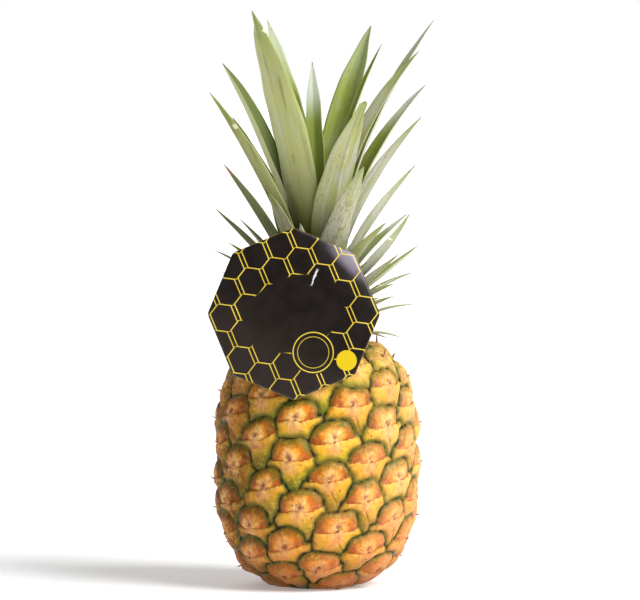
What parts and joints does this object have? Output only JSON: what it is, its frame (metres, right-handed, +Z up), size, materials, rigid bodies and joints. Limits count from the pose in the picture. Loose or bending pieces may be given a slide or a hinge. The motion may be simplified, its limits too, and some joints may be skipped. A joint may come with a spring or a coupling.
{
  "type": "pineapple",
  "caption": "Whole fresh pineapple standing on its cut base, with its crown of leaves and a plain octagonal card tag leaning on its front.",
  "frame": {"origin": "centre of the cut stem's flat end, which is flush with the flat spot that the fruit stands on", "axes": "+Z up along the fruit's axis, through the crown; -Y is the front, where the tag leans; +X is the viewer's right"},
  "size_m": [0.1348, 0.1278, 0.3441],
  "materials": {
    "skin": "waxy fruit skin, golden yellow eyes with green rims and olive furrows",
    "cut_stem": "dry fibrous cut stalk",
    "crown_stem": "pale green fibrous stem",
    "leaf": "stiff grey-green leaf with a pale waxy bloom",
    "card": "dark coated card with a glossy varnish"
  },
  "bodies": {
    "root": {"fruit": "skin", "cut_stem": "cut_stem", "crown_stem": "crown_stem", "crown_leaf_01": "leaf", "crown_leaf_02": "leaf", "crown_leaf_03": "leaf", "crown_leaf_04": "leaf", "crown_leaf_05": "leaf", "crown_leaf_06": "leaf", "crown_leaf_07": "leaf", "crown_leaf_08": "leaf", "crown_leaf_09": "leaf", "crown_leaf_10": "leaf", "crown_leaf_11": "leaf", "crown_leaf_12": "leaf", "crown_leaf_13": "leaf", "crown_leaf_14": "leaf", "crown_leaf_15": "leaf", "crown_leaf_16": "leaf", "crown_leaf_17": "leaf", "crown_leaf_18": "leaf", "crown_leaf_19": "leaf", "crown_leaf_20": "leaf", "crown_leaf_21": "leaf", "crown_leaf_22": "leaf", "crown_leaf_23": "leaf", "crown_leaf_24": "leaf", "crown_leaf_25": "leaf", "crown_leaf_26": "leaf", "crown_leaf_27": "leaf", "crown_leaf_28": "leaf", "crown_leaf_29": "leaf", "crown_leaf_30": "leaf", "crown_leaf_31": "leaf", "crown_leaf_32": "leaf", "crown_leaf_33": "leaf", "crown_leaf_34": "leaf", "crown_leaf_35": "leaf", "crown_leaf_36": "leaf", "crown_leaf_37": "leaf", "crown_leaf_38": "leaf", "crown_leaf_39": "leaf", "crown_leaf_40": "leaf", "crown_leaf_41": "leaf", "crown_leaf_42": "leaf", "crown_leaf_43": "leaf", "crown_leaf_44": "leaf", "crown_leaf_45": "leaf", "crown_leaf_46": "leaf", "crown_leaf_47": "leaf", "crown_leaf_48": "leaf", "crown_leaf_49": "leaf", "crown_leaf_50": "leaf", "crown_leaf_51": "leaf", "crown_leaf_52": "leaf", "crown_leaf_53": "leaf", "crown_leaf_54": "leaf", "tag": "card"}
  },
  "joints": []
}
